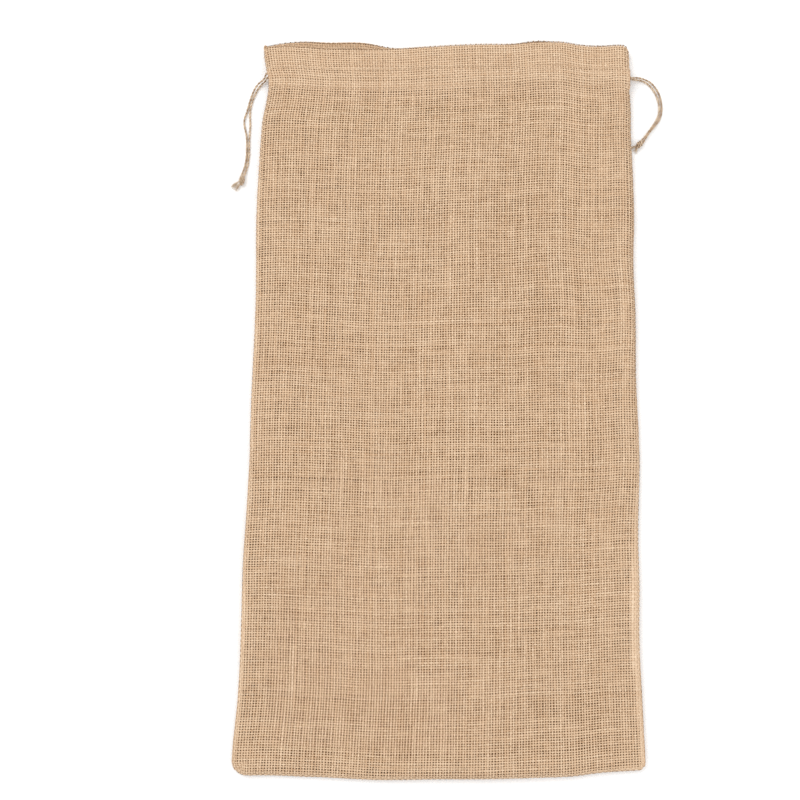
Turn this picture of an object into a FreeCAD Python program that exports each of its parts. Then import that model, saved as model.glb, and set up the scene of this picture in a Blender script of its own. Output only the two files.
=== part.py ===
import FreeCAD, Part
import math
import os

import Sketcher
from FreeCAD import Placement, Rotation, Vector

# An empty drawstring gift bag of open plain-weave burlap, lying flat on its back panel.
# +X runs across the bag, +Y along it to the mouth, +Z up through the front panel.
# The origin is under the middle of the bag, on the surface that it lies on. Millimetres.
#
# The two panels are shallow trays that meet at mid height. Each mouth edge is folded inward
# as a hem with two rows of stitching, and the drawstrings run in the channel between the rows.

PARTS_FOLDER = "parts"

doc = FreeCAD.newDocument("DrawstringGiftBag")
sheet = doc.addObject("Spreadsheet::Sheet", "Sizes")

DRIVING_SIZES = [
    ("bag_length", 668.0),
    ("mouth_width", 344.0),
    ("base_width", 358.0),
    ("base_corner", 14.0),      # radius of the two turned-out bottom corners
    ("edge_round", 5.0),        # the rolled edge where each panel turns to mid height
    ("cloth", 1.0),             # thickness of one layer of burlap
    ("channel_gap", 2.8),       # inside height of the drawstring channel
    ("mouth_gap", 4.8),         # between the two folded hems
    ("seam_allowance", 12.0),
    ("header_depth", 23.0),     # mouth edge to the upper row of stitches
    ("channel_depth", 40.0),    # mouth edge to the lower row of stitches
    ("hem_depth", 43.0),        # mouth edge to the end of the folded hem
    ("cord_gap_length", 14.0),  # unsewn stretch of each side seam, for the drawstrings
    ("cord_gap_reach", 13.0),
    ("thread", 0.6),
    ("stitch_groove", 0.4),     # how far the stitches sink into the cloth
    ("cord", 2.0),              # diameter of one jute strand
    ("cord_lane", 3.0),         # half the distance between the two drawstrings
    ("exit_inset", 4.0),        # from the side of the mouth in to where each cord shows
    ("turn_inset", 9.0),        # from the side of the mouth in to the start of the far turn
]

for row, (alias, value) in enumerate(DRIVING_SIZES, start=1):
    sheet.set(f"A{row}", alias)
    sheet.set(f"B{row}", str(value))
    sheet.setAlias(f"B{row}", alias)
doc.recompute()


def size(alias):
    return float(sheet.get(alias))


LENGTH = size("bag_length")
TOP_Y = LENGTH / 2
CLOTH = size("cloth")
PANEL_DEPTH = 2 * CLOTH + size("channel_gap") + size("mouth_gap") / 2
MID_Z = PANEL_DEPTH
HEM_RISE = size("mouth_gap") / 2          # mid height to the folded hem
CORD_RISE = HEM_RISE + CLOTH + size("channel_gap") / 2
CHANNEL_Y = TOP_Y - (size("header_depth") + size("channel_depth")) / 2
FLARE = (size("base_width") - size("mouth_width")) / 2 / LENGTH


def half_width(y):
    """Half the bag's width at a distance y along it: the sides flare slightly to the base."""
    return size("mouth_width") / 2 + FLARE * (TOP_Y - y)


def check(ok, message):
    if not ok:
        raise RuntimeError(message)


# ---------------------------------------------------------------- sketches and features


def origin_plane(body, role):
    return next(plane for plane in body.Origin.OriginFeatures if plane.Role == role)


def make_body(label):
    body = doc.addObject("PartDesign::Body", label)
    body.Label = label
    return body


def make_sketch(body, name, height, edges):
    """A sketch of lines and arcs at a height above the body's own XY plane."""
    sketch = body.newObject("Sketcher::SketchObject", name)
    sketch.AttachmentSupport = [(origin_plane(body, "XY_Plane"), "")]
    sketch.MapMode = "FlatFace"
    sketch.AttachmentOffset = Placement(Vector(0, 0, height), Rotation())
    sketch.addGeometry(edges, False)
    return sketch


def closed_lines(points):
    corners = [Vector(x, y, 0) for x, y in points]
    return [Part.LineSegment(a, b) for a, b in zip(corners, corners[1:] + corners[:1])]


def outline_edges(inset, top_y):
    """The bag's outline, drawn inset from its edge: straight sides, rounded base corners."""
    base_y = -TOP_Y + inset
    radius = size("base_corner") - inset
    lean = math.atan(FLARE)

    def side_x(y):
        return half_width(y) - inset / math.cos(lean)

    # The arc touches the base line and the leaning side.
    reach = radius * math.tan((math.pi / 2 - lean) / 2)
    corner_x = side_x(base_y)
    on_base = Vector(corner_x - reach, base_y, 0)
    on_side = Vector(corner_x - reach * math.sin(lean), base_y + reach * math.cos(lean), 0)
    centre = Vector(on_base.x, base_y + radius, 0)
    middle = (on_base + on_side) * 0.5 - centre
    on_arc = centre + middle.normalize() * radius
    top = Vector(side_x(top_y), top_y, 0)

    def mirrored(v):
        return Vector(-v.x, v.y, 0)

    return [
        Part.LineSegment(mirrored(on_base), on_base),
        Part.Arc(on_base, on_arc, on_side),
        Part.LineSegment(on_side, top),
        Part.LineSegment(top, mirrored(top)),
        Part.LineSegment(mirrored(top), mirrored(on_side)),
        Part.Arc(mirrored(on_side), mirrored(on_arc), mirrored(on_base)),
    ]


def pad(body, name, sketch, expression, downward):
    feature = body.newObject("PartDesign::Pad", name)
    feature.Profile = sketch
    feature.setExpression("Length", expression)
    feature.Reversed = downward
    doc.recompute()
    return feature


def pocket(body, name, sketch, expression, downward):
    """Cuts away from the sketch, up or down, and makes sure that it did cut."""
    before = body.Shape.Volume
    feature = body.newObject("PartDesign::Pocket", name)
    feature.Profile = sketch
    feature.setExpression("Length", expression)
    feature.Reversed = not downward
    doc.recompute()
    check(body.Shape.Volume < before - 0.5, f"{name} cut nothing")
    return feature


def edge_names(shape, wanted):
    return [f"Edge{n}" for n, edge in enumerate(shape.Edges, start=1) if wanted(edge)]


def face_names(shape, wanted):
    return [f"Face{n}" for n, face in enumerate(shape.Faces, start=1) if wanted(face)]


# ---------------------------------------------------------------- the two panels


def rectangle(x0, x1, y0, y1):
    return closed_lines([(x0, y0), (x1, y0), (x1, y1), (x0, y1)])


def seam_allowance_edges():
    """A U of cloth inside the sides and the base, up to the gap for the drawstrings."""
    top_y = CHANNEL_Y - size("cord_gap_length") / 2
    outer = outline_edges(CLOTH / 2, top_y)
    inner = outline_edges(size("seam_allowance"), top_y)
    edges = [edge for n, edge in enumerate(outer) if n != 3]
    edges += [edge for n, edge in enumerate(inner) if n != 3]
    for outer_end, inner_end in (
        (outer[3].StartPoint, inner[3].StartPoint),
        (outer[3].EndPoint, inner[3].EndPoint),
    ):
        edges.append(Part.LineSegment(outer_end, inner_end))
    return edges


def make_panel(label, downward):
    """One panel with its rolled edges, seam allowances, folded hem and stitch grooves."""
    way = -1 if downward else 1
    top_z = MID_Z + way * PANEL_DEPTH
    body = make_body(label)

    outline = make_sketch(body, f"{label}_outline", MID_Z, outline_edges(0, TOP_Y))
    tray = pad(body, f"{label}_tray", outline,
               "2 * Sizes.cloth + Sizes.channel_gap + Sizes.mouth_gap / 2", downward)

    def on_rolled_edge(edge):
        box = edge.BoundBox
        flat = abs(box.ZMin - top_z) < 0.01 and abs(box.ZMax - top_z) < 0.01
        return flat and box.YMin < TOP_Y - 0.01

    rolled = body.newObject("PartDesign::Fillet", f"{label}_rolled_edge")
    rolled.Base = (tray, edge_names(tray.Shape, on_rolled_edge))
    rolled.setExpression("Radius", "Sizes.edge_round")
    doc.recompute()

    def is_open(face):
        box = face.BoundBox
        at_middle = abs(box.ZMin - MID_Z) < 0.01 and abs(box.ZMax - MID_Z) < 0.01
        return at_middle or abs(box.YMin - TOP_Y) < 0.01

    layer = body.newObject("PartDesign::Thickness", f"{label}_layer")
    layer.Base = (rolled, face_names(rolled.Shape, is_open))
    layer.setExpression("Value", "Sizes.cloth")
    layer.Join = "Intersection"
    layer.Reversed = True
    doc.recompute()
    check(layer.Shape.Volume < 0.5 * rolled.Shape.Volume, f"{label} isn't hollow")

    allowance = make_sketch(body, f"{label}_allowance", MID_Z, seam_allowance_edges())
    pad(body, f"{label}_seam_allowance", allowance, "Sizes.cloth", downward)

    wall_x = half_width(TOP_Y) - CLOTH / 2
    header_low = CHANNEL_Y + size("cord_gap_length") / 2
    for side, name in ((-1, "left"), (1, "right")):
        x0, x1 = sorted((side * wall_x, side * (wall_x - size("seam_allowance"))))
        header = make_sketch(body, f"{label}_{name}_header", MID_Z,
                             rectangle(x0, x1, header_low, TOP_Y))
        pad(body, f"{label}_{name}_header_allowance", header, "Sizes.cloth", downward)

    hem_low = TOP_Y - size("hem_depth")
    hem = make_sketch(body, f"{label}_hem", MID_Z + way * HEM_RISE,
                      rectangle(-wall_x, wall_x, hem_low, TOP_Y))
    pad(body, f"{label}_folded_hem", hem, "Sizes.cloth", downward)
    fold = make_sketch(body, f"{label}_fold_line", MID_Z + way * HEM_RISE,
                       rectangle(-wall_x, wall_x, TOP_Y - CLOTH, TOP_Y))
    pad(body, f"{label}_fold", fold, "1.5 * Sizes.cloth + Sizes.channel_gap", downward)

    gap_low = CHANNEL_Y - size("cord_gap_length") / 2
    gap_high = CHANNEL_Y + size("cord_gap_length") / 2
    for side, name in ((-1, "left"), (1, "right")):
        inner_x = half_width(TOP_Y) - size("cord_gap_reach")
        outer_x = half_width(gap_low) + CLOTH
        x0, x1 = sorted((side * inner_x, side * outer_x))
        gap = make_sketch(body, f"{label}_{name}_gap", MID_Z,
                          rectangle(x0, x1, gap_low, gap_high))
        pocket(body, f"{label}_{name}_cord_gap", gap,
               "Sizes.mouth_gap / 2 + Sizes.cloth + Sizes.channel_gap", downward)

    for depth_alias, name in (("header_depth", "header"), ("channel_depth", "channel")):
        y = TOP_Y - size(depth_alias)
        reach = half_width(y) - size("edge_round")
        groove = make_sketch(body, f"{label}_{name}_line", top_z,
                             rectangle(-reach, reach, y - size("thread") / 2,
                                       y + size("thread") / 2))
        pocket(body, f"{label}_{name}_groove", groove, "Sizes.stitch_groove", not downward)
    return body


# ---------------------------------------------------------------- stitching


def make_hem_stitching(label, depth_alias, downward):
    """A row of thread across the bag, through the outer layer and the folded hem."""
    y = TOP_Y - size(depth_alias)
    way = -1 if downward else 1
    reach = half_width(y) - size("edge_round")
    body = make_body(label)
    line = make_sketch(body, f"{label}_line", MID_Z + way * (HEM_RISE - size("thread") / 4),
                       rectangle(-reach, reach, y - size("thread") / 2,
                                 y + size("thread") / 2))
    pad(body, f"{label}_thread", line,
        "2 * Sizes.cloth + Sizes.channel_gap - Sizes.stitch_groove + Sizes.thread / 2",
        downward)
    return body


def make_seam_stitching(label, strips):
    """Rows of thread through both seam allowances, close beside the turned edge."""
    body = make_body(label)
    for n, corners in enumerate(strips, start=1):
        line = make_sketch(body, f"{label}_line_{n}",
                           MID_Z - CLOTH - size("thread") / 4, closed_lines(corners))
        pad(body, f"{label}_thread_{n}", line, "2 * Sizes.cloth + Sizes.thread / 2", False)
    return body


def side_strip(side, low_y, high_y, inset):
    half_thread = size("thread") / 2
    low_x, high_x = half_width(low_y) - inset, half_width(high_y) - inset
    corners = [(low_x - half_thread, low_y), (low_x + half_thread, low_y),
               (high_x + half_thread, high_y), (high_x - half_thread, high_y)]
    return [(side * x, y) for x, y in corners]


# ---------------------------------------------------------------- drawstrings

# Each drawstring is a doubled strand: out of the side of the bag, down to the floor beside
# it and into one knot. x, y, z of each strand from its exit to its knot. The lane, the exit
# and the heights at the exit come from the sizes above.
LEFT_FRONT_ROUTE = [
    (-177.0, 299.2, 11.3),
    (-181.6, 290.4, 7.6),
    (-184.0, 280.6, 3.2),
    (-186.6, 269.2, 1.2),
    (-189.6, 256.4, 1.05),
    (-187.0, 242.4, 1.05),
    (-186.0, 229.2, 1.05),
    (-186.8, 214.6, 1.05),
    (-189.2, 203.2, 2.4),
]
LEFT_BACK_ROUTE = [
    (-176.4, 298.4, 2.0),
    (-179.4, 290.0, 1.05),
    (-180.6, 280.0, 1.05),
    (-183.0, 268.2, 1.05),
    (-184.6, 255.2, 1.05),
    (-184.4, 242.0, 1.05),
    (-183.6, 229.4, 1.05),
    (-184.4, 214.2, 1.05),
    (-187.0, 203.0, 2.4),
]
RIGHT_FRONT_ROUTE = [
    (176.4, 306.8, 11.4),
    (184.6, 307.8, 8.4),
    (192.4, 304.6, 4.2),
    (197.6, 297.4, 1.5),
    (201.6, 288.4, 1.05),
    (203.4, 277.6, 1.05),
    (202.2, 266.8, 1.05),
    (195.8, 256.8, 1.05),
    (189.2, 247.8, 1.05),
    (183.7, 240.6, 2.4),
]
RIGHT_BACK_ROUTE = [
    (175.8, 305.3, 1.8),
    (182.8, 304.6, 1.05),
    (189.4, 301.2, 1.05),
    (194.4, 295.0, 1.05),
    (198.8, 286.8, 1.05),
    (200.6, 277.4, 1.05),
    (199.4, 267.8, 1.05),
    (193.4, 258.4, 1.05),
    (187.0, 249.4, 1.05),
    (181.6, 241.9, 2.4),
]

# Knot centre, its heading along the cord, and the far ends of the two frayed strands.
LEFT_KNOT = ((-188.4, 199.3, 3.2), (-0.25, -0.97, 0.0))
LEFT_FRAYED = [(-195.6, 188.6, 1.1), (-191.6, 187.0, 1.1)]
RIGHT_KNOT = ((180.2, 239.1, 3.2), (-0.8, -0.6, 0.0))
RIGHT_FRAYED = [(175.8, 231.2, 1.1), (175.0, 234.6, 1.1)]

KNOT_HALF_LENGTH = 4.6
KNOT_HALF_WIDTH = 3.8
KNOT_HALF_HEIGHT = 3.1
FRAYED_START = 2.6    # from the middle of the knot, inside its surface
ARC_SHARE = 0.45    # of the shorter run beside a point, taken by the arc at that point


def tube_path(points):
    """Straight runs joined by tangent arcs, each as large as its two runs allow."""
    corners = [Vector(*point) for point in points]
    edges, radii, start = [], [], corners[0]
    for before, corner, after in zip(corners, corners[1:], corners[2:]):
        arriving, leaving = corner - before, after - corner
        turn = arriving.getAngle(leaving)
        reach = ARC_SHARE * min(arriving.Length, leaving.Length)
        radius = reach / math.tan(turn / 2)
        arc_start = corner - arriving.normalize() * reach
        arc_end = corner + leaving.normalize() * reach
        inward = (arc_start + arc_end) * 0.5 - corner
        sagitta = math.hypot(radius, reach) - radius
        arc_middle = corner + inward.normalize() * sagitta
        edges.append(Part.LineSegment(start, arc_start).toShape())
        edges.append(Part.Arc(arc_start, arc_middle, arc_end).toShape())
        radii.append(radius)
        start = arc_end
    edges.append(Part.LineSegment(start, corners[-1]).toShape())
    return Part.Wire(edges), radii


def make_tail(label, points):
    """One free strand of a drawstring, as a plain round tube."""
    path, radii = tube_path(points)
    radius = size("cord") / 2
    heading = Vector(*points[1]) - Vector(*points[0])
    section = Part.Wire(Part.makeCircle(radius, Vector(*points[0]), heading))
    tube = path.makePipeShell([section], True, True)
    expected = math.pi * radius ** 2 * path.Length
    check(abs(tube.Volume / expected - 1) < 0.02, f"{label} has the wrong volume")
    print(f"{label}: {path.Length:.1f} mm, radii", [round(r, 1) for r in radii])
    return shape_object(label, tube)


def shape_object(label, shape):
    feature = doc.addObject("Part::Feature", label)
    feature.Label = label
    feature.Shape = shape
    feature.Placement = Placement()
    return feature


def make_run(label, exit_x, turn_x, y, z):
    """The straight stretch of one strand inside its channel."""
    run = doc.addObject("Part::Cylinder", label)
    run.Label = label
    run.setExpression("Radius", "Sizes.cord / 2")
    run.setExpression("Height", "Sizes.mouth_width - Sizes.exit_inset - Sizes.turn_inset")
    run.Placement = Placement(Vector(min(exit_x, turn_x), y, z),
                              Rotation(Vector(0, 0, 1), Vector(1, 0, 0)))
    return run


def make_turn(label, turn_x, y):
    """The half turn at the far side seam, from the front channel to the back channel."""
    turn = doc.addObject("Part::Torus", label)
    turn.Label = label
    turn.setExpression("Radius1", "Sizes.mouth_gap / 2 + Sizes.cloth + Sizes.channel_gap / 2")
    turn.setExpression("Radius2", "Sizes.cord / 2")
    turn.Angle3 = 180
    way = 1 if turn_x > 0 else -1
    # The half ring stands upright in the XZ plane and bulges towards its own side seam.
    stand_up = Rotation(Vector(0, 0, way), Vector(way, 0, 0), Vector(0, 1, 0), "XYZ")
    turn.Placement = Placement(Vector(turn_x, y, MID_Z), stand_up)
    return turn


def make_knot(label, centre, heading):
    """The outer shape of an overhand knot, longer along the cord than across it."""
    knot = doc.addObject("Part::Ellipsoid", label)
    knot.Label = label
    knot.Radius1 = KNOT_HALF_HEIGHT
    knot.Radius2 = KNOT_HALF_LENGTH
    knot.Radius3 = KNOT_HALF_WIDTH
    angle = math.degrees(math.atan2(heading[1], heading[0]))
    knot.Placement = Placement(Vector(*centre), Rotation(Vector(0, 0, 1), angle))
    return knot


def make_frayed_ends(label, centre, ends):
    """The two short strands left beyond the knot."""
    root = Vector(centre[0], centre[1], centre[2] * 0.6)
    strands = []
    for end in ends:
        tip = Vector(*end)
        along = tip - root
        start = root + along * (FRAYED_START / along.Length)
        strands.append(Part.makeCylinder(size("cord") * 0.45, (tip - start).Length,
                                         start, along))
    return shape_object(label, Part.makeCompound(strands))


def make_drawstring(side_name, side, front_route, back_route, knot, frayed):
    exit_x = side * (size("mouth_width") / 2 - size("exit_inset"))
    turn_x = -side * (size("mouth_width") / 2 - size("turn_inset"))
    lane_y = CHANNEL_Y + side * size("cord_lane")
    front_z, back_z = MID_Z + CORD_RISE, MID_Z - CORD_RISE
    name = f"{side_name}_drawstring"
    return [
        make_run(f"{name}_front_run", exit_x, turn_x, lane_y, front_z),
        make_run(f"{name}_back_run", exit_x, turn_x, lane_y, back_z),
        make_turn(f"{name}_turn", turn_x, lane_y),
        make_tail(f"{name}_front_tail", [(exit_x, lane_y, front_z)] + front_route),
        make_tail(f"{name}_back_tail", [(exit_x, lane_y, back_z)] + back_route),
        make_knot(f"{name}_knot", *knot),
        make_frayed_ends(f"{name}_frayed_ends", knot[0], frayed),
    ]


# ---------------------------------------------------------------- the whole bag


def make_bag():
    gap_low = CHANNEL_Y - size("cord_gap_length") / 2
    gap_high = CHANNEL_Y + size("cord_gap_length") / 2
    seam_inset = 2 * CLOTH
    base_low = -TOP_Y + seam_inset - size("thread") / 2
    base_reach = size("base_width") / 2 - size("base_corner")
    side_low = -TOP_Y + size("base_corner")
    pieces = [make_panel("front_panel", False), make_panel("back_panel", True)]
    for name, downward in (("front", False), ("back", True)):
        pieces.append(make_hem_stitching(f"{name}_header_stitching", "header_depth", downward))
        pieces.append(make_hem_stitching(f"{name}_channel_stitching", "channel_depth",
                                         downward))
    for name, side in (("left", -1), ("right", 1)):
        # One thread below the drawstring gap and a short one above it, in one node each.
        pieces.append(make_seam_stitching(
            f"{name}_side_stitching", [side_strip(side, side_low, gap_low, seam_inset)]))
        pieces.append(make_seam_stitching(
            f"{name}_header_seam_stitching",
            [side_strip(side, gap_high, TOP_Y - seam_inset, seam_inset)]))
    pieces.append(make_seam_stitching("base_stitching", [[
        (-base_reach, base_low), (base_reach, base_low),
        (base_reach, base_low + size("thread")), (-base_reach, base_low + size("thread"))]]))
    pieces += make_drawstring("left", -1, LEFT_FRONT_ROUTE, LEFT_BACK_ROUTE,
                              LEFT_KNOT, LEFT_FRAYED)
    pieces += make_drawstring("right", 1, RIGHT_FRONT_ROUTE, RIGHT_BACK_ROUTE,
                              RIGHT_KNOT, RIGHT_FRAYED)
    return pieces


pieces = make_bag()
doc.recompute()

for item in doc.Objects:
    failed = {"Invalid", "Error"} & set(item.State)
    check(not failed, f"{item.Name} failed: {item.State}")
for piece in pieces:
    shape = piece.Shape
    check(not shape.isNull() and shape.isValid(), f"{piece.Label} has no valid shape")
    check(shape.Solids and shape.Volume > 0.5, f"{piece.Label} has no solid")

os.makedirs(PARTS_FOLDER, exist_ok=True)
for piece in pieces:
    piece.Shape.exportStep(f"{PARTS_FOLDER}/{piece.Label}.step")
    print(f"{piece.Label}: {piece.Shape.Volume / 1000:.2f} cm3")
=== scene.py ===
import math

import bpy
import numpy as np
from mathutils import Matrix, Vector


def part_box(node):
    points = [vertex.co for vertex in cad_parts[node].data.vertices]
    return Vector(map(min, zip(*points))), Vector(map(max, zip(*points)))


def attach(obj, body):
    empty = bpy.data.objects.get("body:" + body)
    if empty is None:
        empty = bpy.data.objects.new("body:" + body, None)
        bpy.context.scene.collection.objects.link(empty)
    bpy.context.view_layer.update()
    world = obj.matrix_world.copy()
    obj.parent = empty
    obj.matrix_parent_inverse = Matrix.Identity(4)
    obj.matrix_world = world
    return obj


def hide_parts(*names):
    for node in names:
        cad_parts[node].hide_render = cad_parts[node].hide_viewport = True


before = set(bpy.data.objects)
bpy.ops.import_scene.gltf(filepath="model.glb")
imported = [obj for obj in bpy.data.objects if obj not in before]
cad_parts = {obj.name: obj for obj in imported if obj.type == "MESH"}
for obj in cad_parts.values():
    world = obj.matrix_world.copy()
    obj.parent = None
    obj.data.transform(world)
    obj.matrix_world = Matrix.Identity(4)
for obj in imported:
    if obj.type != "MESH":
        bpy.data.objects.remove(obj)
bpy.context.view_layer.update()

# An empty burlap drawstring bag lying flat. Metres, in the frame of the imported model:
# +X across the bag, +Y along it to the mouth, +Z up. Both panels are woven yarn by yarn, so
# the holes of the open weave are real, and the drawstrings are two-ply strands on real routes.

MM = 0.001

# ---------------------------------------------------------------- places from the frame


def middle(node):
    """The middle of one CAD node's box."""
    low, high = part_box(node)
    return [(a + b) / 2 for a, b in zip(low, high)]


FRONT_LOW, FRONT_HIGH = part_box("front_panel")
MOUTH_Y = FRONT_HIGH[1]
BASE_Y = FRONT_LOW[1]
LENGTH = MOUTH_Y - BASE_Y
BASE_HALF_WIDTH = FRONT_HIGH[0]
TOP_Z = FRONT_HIGH[2]
TURN_INSET = 9 * MM         # from the side of the mouth in to where each string turns round
MOUTH_HALF_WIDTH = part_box("left_drawstring_front_run")[1][0] + TURN_INSET
CHANNEL_Y = (middle("left_drawstring_front_run")[1] + middle("right_drawstring_front_run")[1]) / 2
HEADER_ROW_Y = middle("front_header_stitching")[1]
CHANNEL_ROW_Y = middle("front_channel_stitching")[1]

# ---------------------------------------------------------------- the cloth

WARP_PITCH = 2.43 * MM      # between the yarns that run along the bag
WEFT_PITCH = 2.20 * MM      # between the yarns that run across it
WARP_WIDTH = 1.34 * MM
WEFT_WIDTH = 1.20 * MM
WIDEST_YARN = 0.90          # share of the pitch that a thick yarn fills in the open cloth
CLOSED_YARN = 0.98          # and that each yarn fills where the cloth is fully closed
OVER_UNDER = 0.30 * MM      # how far a yarn rises over and dips under the others
FLATTER_EDGE = 0.35         # share of that left where the cloth is sewn
CROWN = 0.22 * MM           # how much a yarn's sides lie lower than its middle
FLOOR_GAP = 0.02 * MM

SEAM_ALLOWANCE = 12 * MM
HEM_DEPTH = 43 * MM
ROLL_REACH = 7 * MM         # how far in from a sewn edge the cloth starts to roll over
ROLL_ARC = 9.5 * MM         # cloth used by that roll
BASE_CORNERS = 13 * MM, 6 * MM      # radii, left and right
MOUTH_CORNERS = 2.5 * MM, 5.5 * MM
FOLD_REACH = 1.6 * MM       # half of the cloth used by the fold at the mouth
FOLD_ROUND = 0.6 * MM
GAP_HALF_LENGTH = 7.5 * MM  # of the unsewn gap in each side seam

SEAM_Z = 4.0 * MM
SEAM_WANDER = 0.8 * MM      # how far the side seams lie higher and lower
FRONT_Z = 9.6 * MM          # the middle of the front panel's cloth, away from the edges
BACK_Z = 1.0 * MM
HEM_Z = 11.0 * MM           # the front panel's outer layer at the mouth
NEAR_HEM = 30 * MM          # how far from the hem the body's cloth starts to rise to it
CHANNEL_BULGE = 2.2 * MM    # how far the cord channel stands out between its rows
HEADER_BULGE = 0.9 * MM     # and the strip between the upper row and the mouth
LAYER_GAP = 1.15 * MM       # between the middles of the hem's two layers, at the rows
CHANNEL_ROOM = 2.1 * MM     # how much further apart they are in the channel
HEADER_ROOM = 0.5 * MM      # and in the strip above it
BACK_LAYER_RISE = 0.2 * MM  # how much further up the back hem's inner layer lies
ALLOWANCE_GAP = 0.55 * MM   # from each allowance's middle to where the two panels meet

# How far the cloth is closed, from 0 to 1, where it lies tight on another layer.
CLOSED_SIDE = 0.85
CLOSED_BASE = 0.50
CLOSED_HEM = 0.15
CLOSED_HEM_INSIDE = 0.35
CLOSED_BACK = 0.35
CLOSED_BACK_BASE = 0.25     # added on the back panel towards the base
SLACK_BASE = -0.015         # change in the yarns' width towards the base
SLACK_RIGHT = 0.05          # and on the right

# Painted shade, as the share of a yarn's colour left where its neighbours shade it: at its sides
# and where it dips under another yarn, and less of it where the cloth is closed.
SHADE_SIDE = 0.58           # colour left at a yarn's sides, between the fibres of its neighbours
SHADE_UNDER = 0.62          # and where it dips under another yarn
CLOSED_SHADE_SIDE = 0.80    # the same two where the cloth is closed
CLOSED_SHADE_UNDER = 0.86
# Painted shade on the inside of the bag, where the front panel shades the back one:
SHADE_INSIDE = 0.08         # colour left on the inside of the bag

SLUBS = 90                  # thick places in the yarns of each direction
HAIRS = 12000               # loose fibres on the front panel
HAIR_WIDTH = 0.08 * MM
EDGE_HAIRS = 8              # one loose fibre in so many is at a sewn edge

rng = np.random.default_rng(20)


def smooth_step(t):
    t = np.clip(t, 0, 1)
    return t * t * (3 - 2 * t)


def ramp(value, start, span):
    """Rises smoothly from 0 at start to 1 one span further on."""
    return smooth_step((value - start) / span)


def smooth_noise(shape, cells):
    """Smooth noise around 0 on a grid, with the given number of cells along each side."""
    coarse = rng.standard_normal((cells[0] + 2, cells[1] + 2))
    u = np.linspace(0, cells[0], shape[0])[:, None]
    v = np.linspace(0, cells[1], shape[1])[None, :]
    i, j = np.floor(u).astype(int), np.floor(v).astype(int)
    s, t = smooth_step(u - i), smooth_step(v - j)
    low = coarse[i, j] * (1 - s) + coarse[i + 1, j] * s
    high = coarse[i, j + 1] * (1 - s) + coarse[i + 1, j + 1] * s
    return low * (1 - t) + high * t


def smooth_curve(knots, at):
    """A smooth curve through a few (position, value) knots, in millimetres in and out."""
    xs, ys = np.array(knots, float).T * MM
    slopes = np.gradient(ys, xs)
    at = np.clip(at, xs[0], xs[-1])
    n = np.clip(np.searchsorted(xs, at) - 1, 0, len(xs) - 2)
    span = xs[n + 1] - xs[n]
    t = (at - xs[n]) / span
    return (
        ys[n] * (1 + 2 * t) * (1 - t) ** 2
        + slopes[n] * span * t * (1 - t) ** 2
        + ys[n + 1] * t * t * (3 - 2 * t)
        + slopes[n + 1] * span * t * t * (t - 1)
    )


# How far each edge of this bag wanders outwards from a straight one: (place along it, shift).
LEFT_EDGE = [(-334, 0.9), (-308, 0.4), (-271, -1.8), (-202, -2.0), (-149, -1.4), (-78, -3.4),
             (-6, -2.5), (87, -3.0), (182, -0.4), (225, -0.8), (250, -1.4), (264, -2.1),
             (277, -4.4), (290, -6.0), (301, -6.8), (309, -4.8), (318, -2.7), (327, -1.2),
             (334, -0.2)]
RIGHT_EDGE = [(-334, -1.1), (-275, -2.7), (-223, -3.7), (-171, -2.4), (-136, -2.5), (-64, -0.1),
              (18, -1.4), (75, -0.6), (129, -1.4), (167, 0.4), (215, 0.0), (250, -0.8),
              (274, -0.5), (293, -1.3), (303, -1.5), (311, -1.1), (318, -1.1), (334, -0.9)]
BASE_EDGE = [(-179, -0.5), (-147, 0.5), (-121, 0.1), (-95, -0.5), (-56, -1.9), (-4, -0.7),
             (48, 0.3), (87, 2.0), (113, 3.5), (140, 7.0), (179, 9.9)]
FRONT_MOUTH_EDGE = [(-172, -7.4), (-152, -6.2), (-110, -7.6), (-44, -6.7), (-15, -4.4),
                    (32, -1.6), (60, -1.2), (88, 1.2), (107, 1.5), (126, -1.3), (145, -2.0),
                    (164, -0.7), (172, -2.0)]
BACK_MOUTH_EDGE = [(-172, -3.4), (-152, 1.2), (-138, 2.6), (-110, 2.0), (-81, 2.4), (-44, -3.0),
                   (-15, -1.6), (32, 1.2), (60, 2.6), (88, 6.8), (103, 5.6), (126, 1.0),
                   (145, 0.6), (172, 0.2)]

# How wide the band along each sewn edge is where the cloth is pressed tight on its allowance.
LEFT_BAND = [(-334, 5.0), (-200, 6.0), (0, 5.0), (200, 5.0), (334, 3.0)]
RIGHT_BAND = [(-334, 5.0), (-270, 8.0), (-170, 10.5), (-110, 7.0), (-40, 3.5), (334, 2.5)]


def half_width(y):
    """Half the width of the plain, straight-sided bag."""
    share = (MOUTH_Y - y) / LENGTH
    return MOUTH_HALF_WIDTH + (BASE_HALF_WIDTH - MOUTH_HALF_WIDTH) * share


def rounded_corner(x, y, corner_x, corner_y, radius):
    """Bends a square corner's yarns into a round one: a square mapped onto a disc."""
    u = np.clip((x - corner_x) / radius, 0, None)
    v = np.clip((y - corner_y) / radius, 0, None)
    inside = (u > 0) & (v > 0)
    shrink = np.where(inside, np.maximum(u, v) / np.maximum(np.hypot(u, v), 1e-9), 1)
    new_x = np.where(inside, corner_x + u * shrink * radius, x)
    new_y = np.where(inside, corner_y + v * shrink * radius, y)
    return new_x, new_y


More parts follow.
